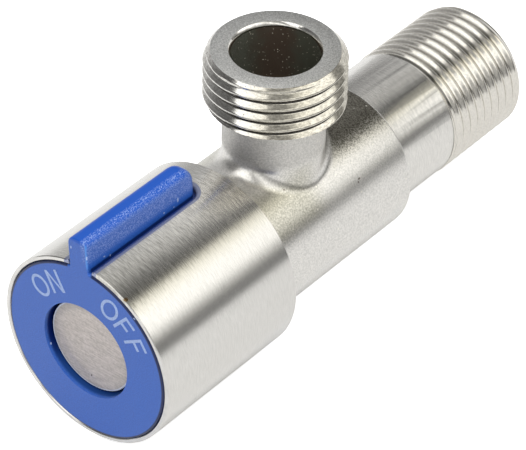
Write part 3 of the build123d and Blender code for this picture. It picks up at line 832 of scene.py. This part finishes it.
# Painted light on the top, painted sparkle on the right side, painted highlights on the right top edge and
# the front corner
on_top = between(tree, up, *fin_top)
side_sparkle = where(tree, (sideways, *flank), (up, *flank_foot), (fine, *sparkle_span))
edge_highlight = where(tree, (sideways, *edge_highlight_from), (sideways, *edge_highlight_to), (up, *edge_highlight_up), (fine, *edge_highlight_span))
off_corner = calculate(tree, "ABSOLUTE", calculate(tree, "SUBTRACT", sideways, corner_place))
corner = where(tree, (off_corner, *corner_width), (along, *behind_ring(0.35, 0.15)), (up, *corner_up))

# %% Masks in the gaps: beside the fin, in the cap's hole, and between ring and sleeve
gap_radius, gap_foot, beside_fin = (15.1, 14.8), (8.0, 10.0), (1.9, 2.4)
hole_edge, hole_light = (hole_radius + 0.2, hole_radius + 0.05), (-2.0, -7.0)
crack_edge = (ring_radius - 0.35, ring_radius - 0.15)

gap = where(tree, (off_axis, *gap_radius), (up, *gap_foot), (along, *behind_ring(0.3, 0.8)))
hole = where(tree, (off_axis, *hole_edge), (along, *behind_ring(0.1, 0.9)))
off_fin = between(tree, calculate(tree, "ABSOLUTE", sideways), *beside_fin)
off_fin = calculate(tree, "MAXIMUM", off_fin, calculate(tree, "LESS_THAN", up, 0.0))
crack = product(tree, where(tree, (off_axis, *crack_edge), (along, *behind_ring(0.5, 0.3))), off_fin)

# %% Blue plastic
blue_tones = (0.017, 0.085, 0.4), (0.031, 0.135, 0.54)
hole_tones = (0.002, 0.012, 0.1), (0.012, 0.05, 0.2)
# Painted light on the fin's top, painted sparkle on its side, and a painted highlight on its top edge
top_light_colour, sparkle_colour, edge_highlight_colour = (0.012, 0.093, 0.49), (0.2, 0.285, 0.61), (0.3, 0.42, 0.78)
gap_colour, crack_colour = (0.004, 0.022, 0.13), (0.003, 0.012, 0.07)
# A painted highlight on the fin's front corner, and pale scuffs
corner_highlight_colour, scuff_colour = (0.06, 0.26, 0.72), (0.4, 0.5, 0.75)
plastic_roughness, plastic_shine, deep_shine = (0.28, 0.4), 0.5, 0.1

# Painted light, sparkle and highlights on the fin, painted shade in the gaps and the hole, and scuffs
colour = coated(
    tree, toned(tree, fine, blue_tones),
    (on_top, top_light_colour), (side_sparkle, sparkle_colour), (edge_highlight, edge_highlight_colour), (gap, gap_colour),
    (hole, toned(tree, up, hole_tones, hole_light)), (crack, crack_colour),
    (corner, corner_highlight_colour), (marked(tree, scuffs, ragged=2.0), scuff_colour),
)
dimmed = calculate(tree, "MAXIMUM", hole, product(tree, on_top, 0.7))
surface(
    tree, Base_Color=colour, Roughness=between(tree, fine, *shine_span, *plastic_roughness),
    Normal=relief(tree, fine, 0.7), Specular_IOR_Level=between(tree, dimmed, 0, 1, plastic_shine, deep_shine),
)
print("materials:", len(bpy.data.materials))

# %% [markdown]
# ## Finish of every solid that stays
# A solid from the frame keeps its shape, and only its material slots are filled. A table from piece to
# finish says it all in one place, and pieces that are made in the same way share a material.

# %% Finish of every solid that stays
finishes = (
    (sleeve_steel, "handle_sleeve"),
    (blue_plastic, "handle_core", "cap_plug"),
    (plate_steel, "cap_plate"),
    (brass, "cartridge_housing", "spindle", "stop_ring", "spline_insert"),
    (spring_steel, "handle_screw", "screw_washer", "retaining_ring"),
    (ceramic, "fixed_disc", "moving_disc"),
    (white_plastic, "disc_carrier", "thrust_washer"),
    (rubber, "housing_oring", "seat_seal", "spindle_oring_lower", "spindle_oring_upper"),
)
finished = 0
for material, *names in finishes:
    for name in names:
        nodes[name].data.materials.clear()
        nodes[name].data.materials.append(material)
        finished += 1
print("finished solids:", finished, "of", len(nodes))

# %% [markdown]
# ## A pipe thread
# A half-inch pipe thread has 14 turns to the inch. A lathe cuts it with one tool that moves along by a
# pitch each turn, and `bmesh.ops.spin` does the same: it sweeps the outline of one pitch and shifts it
# at each step. Every turn then starts where the last one ended, and merging doubles makes one skin.
# Drawing each corner from a formula would need its own lists of faces, and a stack of plain rings
# would have no lead. The outlet's turns have straight flanks with rounded crests and roots, and their
# corners carry an attribute for the painted shade between the turns. The tail's turns have worn to a
# low round wave.

# %% One pitch of the thread
turns_to_inch, inch = 14, 25.4
thread_pitch = inch / turns_to_inch
crest_share = 0.137329
crest_round = crest_share * thread_pitch
flank_angle = radians(45)
round_width = crest_round * cos(flank_angle)
flank_height = (thread_pitch / 2 - 2 * round_width) / tan(flank_angle)
thread_depth = flank_height + 2 * crest_round * (1 - sin(flank_angle))
worn_depth = 0.4
# The part of a pitch, from crest to crest, where painted shade lies between the turns
groove_shade_from, groove_shade_to = 0.44, 0.58
steps_round, points_along = 128, 20
print("pitch", round(thread_pitch, 3), "depth", round(thread_depth, 2), "worn", worn_depth)


def thread_height(along, worn):
    """How far the thread stands above its root, at a distance along the axis from a crest."""
    if worn:
        return worn_depth * (1 + cos(2 * pi * along / thread_pitch)) / 2
    along = abs((along + thread_pitch / 2) % thread_pitch - thread_pitch / 2)
    if along < round_width:
        return thread_depth - crest_round + sqrt(crest_round**2 - along**2)
    if thread_pitch / 2 - along < round_width:
        return crest_round - sqrt(crest_round**2 - (thread_pitch / 2 - along) ** 2)
    return thread_depth - crest_round * (1 - sin(flank_angle)) - (along - round_width) / tan(flank_angle)


def between_turns(part):
    """How much painted shade lies at a part of a pitch, which runs from one crest up to the next."""
    return 1.0 if groove_shade_from < part < groove_shade_to else 0.0


# %% Sweep the thread and cut it to length
def only(kind, parts):
    """The corners, edges or faces among the parts that an operator made."""
    return [part for part in parts if isinstance(part, kind)]


def cut_off(bm, point, outwards):
    """Cuts off what lies beyond a plane."""
    everything = bm.verts[:] + bm.edges[:] + bm.faces[:]
    bmesh.ops.bisect_plane(bm, geom=everything, plane_co=point, plane_no=outwards, clear_outer=True)


def thread_skin(length, worn):
    """A thread's skin around Z, from the end face at height 0 down to -length, cut flat at both."""
    bm = bmesh.new()
    turns = ceil(length / thread_pitch) + 2
    start = -length - thread_pitch
    step = thread_pitch / points_along
    root = thread_radius - (worn_depth if worn else thread_depth)
    # Each corner carries how much painted shade lies on it between the turns
    oil = bm.verts.layers.float.new("oil")
    verts = []
    for i in range(points_along + 1):
        verts.append(bm.verts.new((root + thread_height(i * step, worn), 0, start + i * step)))
        verts[-1][oil] = 0.0 if worn else between_turns(i / points_along)
    edges = [bm.edges.new(pair) for pair in zip(verts, verts[1:])]
    bmesh.ops.spin(
        bm, geom=verts + edges, cent=(0, 0, 0), axis=(0, 0, 1), angle=2 * pi, steps=steps_round,
        dvec=(0, 0, thread_pitch / steps_round),
    )
    first_turn = bm.verts[:] + bm.edges[:] + bm.faces[:]
    for count in range(1, turns):
        copied = only(bmesh.types.BMVert, bmesh.ops.duplicate(bm, geom=first_turn)["geom"])
        bmesh.ops.translate(bm, verts=copied, vec=(0, 0, count * thread_pitch))
    bmesh.ops.remove_doubles(bm, verts=bm.verts, dist=step / 10)
    cut_off(bm, (0, 0, 0), (0, 0, 1))
    cut_off(bm, (0, 0, -length), (0, 0, -1))
    bmesh.ops.remove_doubles(bm, verts=bm.verts, dist=step / 20)
    return bm


# %% [markdown]
# ## The ends of a threaded tube
# A thread starts under a chamfer, so that a nut finds it, and on the tail it fades out towards the
# neck where the tool was drawn back. Both come from limits on how far out and in a corner may stand,
# which is simpler than cutting with cones. From the open rim, `extrude_edge_only` then makes the end
# face, the mouth and the bore, one true circle after the other.

# %% Circles at the ends
def set_radius(vert, radius):
    """Moves a corner straight in or out from Z."""
    vert.co.xy *= radius / vert.co.xy.length


def next_ring(bm, edges, radius, height, material):
    """Extrudes a closed row of edges to a true circle, and returns the circle's edges."""
    made = bmesh.ops.extrude_edge_only(bm, edges=edges)["geom"]
    for vert in only(bmesh.types.BMVert, made):
        set_radius(vert, radius)
        vert.co.z = height
    for face in only(bmesh.types.BMFace, made):
        face.material_index = material
    return [edge for edge in only(bmesh.types.BMEdge, made) if edge.is_boundary]


SATIN, TAIL, THREAD, WORN, FACE, BORE = range(6)
body_materials = [satin_steel, tail_steel, thread_steel, worn_steel, face_steel, bore_steel]
bore_mouth, mouth_depth = 0.4, 0.35
overlap = 0.05


# %% One threaded end
def threaded_end(length, lead, neck_radius, bore_radius, run_out):
    """A threaded tube end around Z with its end face at height 0, open towards the body."""
    worn = run_out > 0
    bm = thread_skin(length, worn)
    root = thread_radius - (worn_depth if worn else thread_depth)
    for vert in bm.verts:
        radius = vert.co.xy.length
        fade = max(0.0, 1 - (vert.co.z + length) / run_out) if run_out else 0.0
        lowest = root + max(0.0, neck_radius - root) * fade
        highest = thread_radius - max(0.0, vert.co.z + lead)
        set_radius(vert, min(max(radius, lowest), highest))
    for face in bm.faces:
        face.material_index = WORN if worn else THREAD
    # No painted shade near the chamfer at the lead
    oil = bm.verts.layers.float["oil"]
    for vert in bm.verts:
        if vert.co.z > -lead - thread_pitch / 4:
            vert[oil] = 0.0
    rim = [edge for edge in bm.edges if edge.is_boundary and edge.verts[0].co.z > -overlap]
    foot = [edge for edge in bm.edges if edge.is_boundary and edge.verts[0].co.z < overlap - length]
    rim = next_ring(bm, rim, bore_radius + bore_mouth, 0, FACE)
    rim = next_ring(bm, rim, bore_radius + bore_mouth / 10, -mouth_depth, THREAD)
    rim = next_ring(bm, rim, bore_radius, -2 * mouth_depth, THREAD)
    next_ring(bm, rim, bore_radius, -length, BORE)
    next_ring(bm, foot, neck_radius, -length, WORN if worn else THREAD)
    return bm


# %% [markdown]
# ## The threaded body
# The solid's own mesh is loose triangles, so it is copied and its corners are merged first. Two planes
# cut off its plain cylinders at the necks, the threaded ends take their place, and `bridge_loops`
# closes the seam from circle to circle, outside and in the bore. The result is one closed skin.

# %% The solid's skin, cut at both necks
turned_to_axis = 0.9
body = bmesh.new()
body.from_mesh(nodes["valve_body"].data)
bmesh.ops.scale(body, verts=body.verts, vec=(1 / MM,) * 3)
bmesh.ops.remove_doubles(body, verts=body.verts, dist=0.001)
cut_inlet = Vector((0, -inlet_thread_length - overlap, 0))
cut_outlet = Vector((0, outlet_y, outlet_thread_bottom - overlap))
cut_off(body, cut_inlet, (0, 1, 0))
cut_off(body, cut_outlet, (0, 0, 1))
inlet_wall = (inlet_bore_radius + inlet_neck_radius) / 2
outlet_wall = (outlet_bore_radius + outlet_neck_radius) / 2
for face in body.faces:
    middle = face.calc_center_median()
    facing = face.normal
    outside_tail = middle.y > shoulder and off_inlet_line(middle) > inlet_wall
    in_spout = middle.z > body_radius and off_outlet_line(middle) < outlet_bore_radius + close
    inside_tube = facing.x * middle.x + facing.z * middle.z < 0 and abs(facing.y) < turned_to_axis
    inside_tube = inside_tube and off_inlet_line(middle) < inlet_neck_radius and middle.z < body_radius
    if in_spout or inside_tube or off_inlet_line(middle) < inlet_bore_radius:
        face.material_index = BORE
    elif outside_tail:
        face.material_index = TAIL
    else:
        face.material_index = SATIN
print("faces of the solid's skin:", len(body.faces))

# %% Threaded ends in their places, and the seams
inlet_run_out = 0.9 * thread_pitch
inlet_place = Matrix.Rotation(radians(-90), 4, "X")
outlet_place = Matrix.Translation((0, outlet_y, outlet_top))
outlet_thread_length = outlet_top - outlet_thread_bottom
ends = (
    (inlet_thread_length, inlet_lead, inlet_neck_radius, inlet_bore_radius, inlet_run_out, inlet_place),
    (outlet_thread_length, outlet_lead, outlet_neck_radius, outlet_bore_radius, 0, outlet_place),
)


def add_to(whole, part):
    """Adds one bmesh to another, and frees it."""
    spare = bpy.data.meshes.new("spare")
    part.to_mesh(spare)
    part.free()
    whole.from_mesh(spare)
    bpy.data.meshes.remove(spare)


for *sizes, place in ends:
    end = threaded_end(*sizes)
    bmesh.ops.transform(end, matrix=place, verts=end.verts)
    add_to(body, end)

loops = {"inlet neck": [], "inlet bore": [], "outlet neck": [], "outlet bore": []}
for edge in [edge for edge in body.edges if edge.is_boundary]:
    point = (edge.verts[0].co + edge.verts[1].co) / 2
    if point.z > body_radius:
        part = "outlet bore" if off_outlet_line(point) < outlet_wall else "outlet neck"
    else:
        part = "inlet bore" if off_inlet_line(point) < inlet_wall else "inlet neck"
    loops[part].append(edge)
for part, edges in loops.items():
    for face in bmesh.ops.bridge_loops(body, edges=edges)["faces"]:
        face.material_index = BORE if "bore" in part else (TAIL if "inlet" in part else SATIN)
bmesh.ops.recalc_face_normals(body, faces=body.faces)
still_open = sum(not edge.is_manifold for edge in body.edges)
bmesh.ops.scale(body, verts=body.verts, vec=(MM,) * 3)
print("threads: inlet", round(inlet_thread_length / thread_pitch, 1), "turns, outlet",
      round(outlet_thread_length / thread_pitch, 1), "turns, open edges", still_open)

# %% [markdown]
# ## From a bmesh to a piece of the valve
# A finished piece is an object at the origin whose mesh holds its place, so it can ride on a body of
# the valve. Faces that meet at a small angle are shaded as one curve, and sharper meetings stay crisp.
# A bevel on each sharp edge would do that too, but the flanks of a thread leave no room for one.

# %% Make a piece
def make_piece(bm, name, rides_on, materials, crisp_angle=38):
    """Turns a bmesh in metres into an object that rides on one of the valve's bodies."""
    piece = new_object(bm, name, materials)
    piece.data.shade_smooth()
    piece.data.set_sharp_from_angle(angle=radians(crisp_angle))
    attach(piece, rides_on)
    piece.data.calc_loop_triangles()
    print(name, "triangles:", len(piece.data.loop_triangles))
    return piece


threaded_body = make_piece(body, "threaded_body", "valve", body_materials)
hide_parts("valve_body")

# %% [markdown]
# ## The words on the ring
# ON and OFF are printed on the blue ring in a thin, even stroke, each letter standing upright on a
# circle around the cap. Each letter starts as one flat outline and is raised by the thickness of a
# coat of ink, then turned to its own angle round the ring. A text object would bring a font's own
# shapes and far more corners.

# %% Letters
letter_height, letter_width, stroke = 3.7, 2.45, 0.46
letter_middle = 11.17
ink_thickness = 0.03
oval_corners, oval_width = 40, 1.25
slant_end = 0.72
arm_height, arm_length, f_width = 0.46, 0.85, 0.9


def letter_o(bm):
    """An oval ring."""
    rows = []
    for inset in (0, stroke):
        circle = bmesh.ops.create_circle(bm, segments=oval_corners, radius=1.0)["verts"]
        size = (oval_width * letter_width / 2 - inset, letter_height / 2 - inset, 1)
        bmesh.ops.scale(bm, vec=size, verts=circle)
        rows += {edge for vert in circle for edge in vert.link_edges}
    bmesh.ops.bridge_loops(bm, edges=rows)


def letter_outline(bm, corners):
    """One flat face, moved so that the letter's middle is at the origin."""
    shift = Vector((letter_width / 2, letter_height / 2, 0))
    bm.faces.new([bm.verts.new(Vector((x, y, 0)) - shift) for x, y in corners])


def letter_n(bm):
    """Two stems and a slant whose ends fill the corners."""
    w, h, s = letter_width, letter_height, stroke
    letter_outline(bm, [
        (0, 0), (s, 0), (s, h - slant_end), (w - s, 0), (w, 0),
        (w, h), (w - s, h), (w - s, slant_end), (s, h), (0, h),
    ])


def letter_f(bm):
    """A stem with two arms."""
    w, h, s = f_width * letter_width, letter_height, stroke
    arm, reach = arm_height * h, arm_length * w
    letter_outline(bm, [
        (0, 0), (s, 0), (s, arm), (reach, arm), (reach, arm + s),
        (s, arm + s), (s, h - s), (w, h - s), (w, h), (0, h),
    ])


# %% Words round the ring
letters = {"O": letter_o, "N": letter_n, "F": letter_f}


def printed_word(name, placed_letters, material):
    """A word whose letters stand at given angles round the ring, in degrees from the top."""
    word = bmesh.new()
    for letter, angle in placed_letters:
        bm = bmesh.new()
        letters[letter](bm)
        bmesh.ops.recalc_face_normals(bm, faces=bm.faces)
        faces = bm.faces[:]
        tops = only(bmesh.types.BMVert, bmesh.ops.extrude_face_region(bm, geom=faces)["geom"])
        bmesh.ops.translate(bm, vec=(0, 0, ink_thickness), verts=tops)
        bmesh.ops.recalc_face_normals(bm, faces=bm.faces)
        upright = Matrix.Translation((0, ring_front, 0)) @ Matrix.Rotation(radians(angle), 4, "Y")
        stood = Matrix.Translation((0, 0, letter_middle)) @ Matrix.Rotation(radians(90), 4, "X")
        bmesh.ops.transform(bm, matrix=Matrix.Scale(MM, 4) @ upright @ stood, verts=bm.verts)
        add_to(word, bm)
    make_piece(word, name, "handle", [material])


printed_word("word_on", [("O", -47.3), ("N", -29.6)], ink)
printed_word("word_off", [("O", 24.6), ("F", 41.4), ("F", 57.6)], ink)
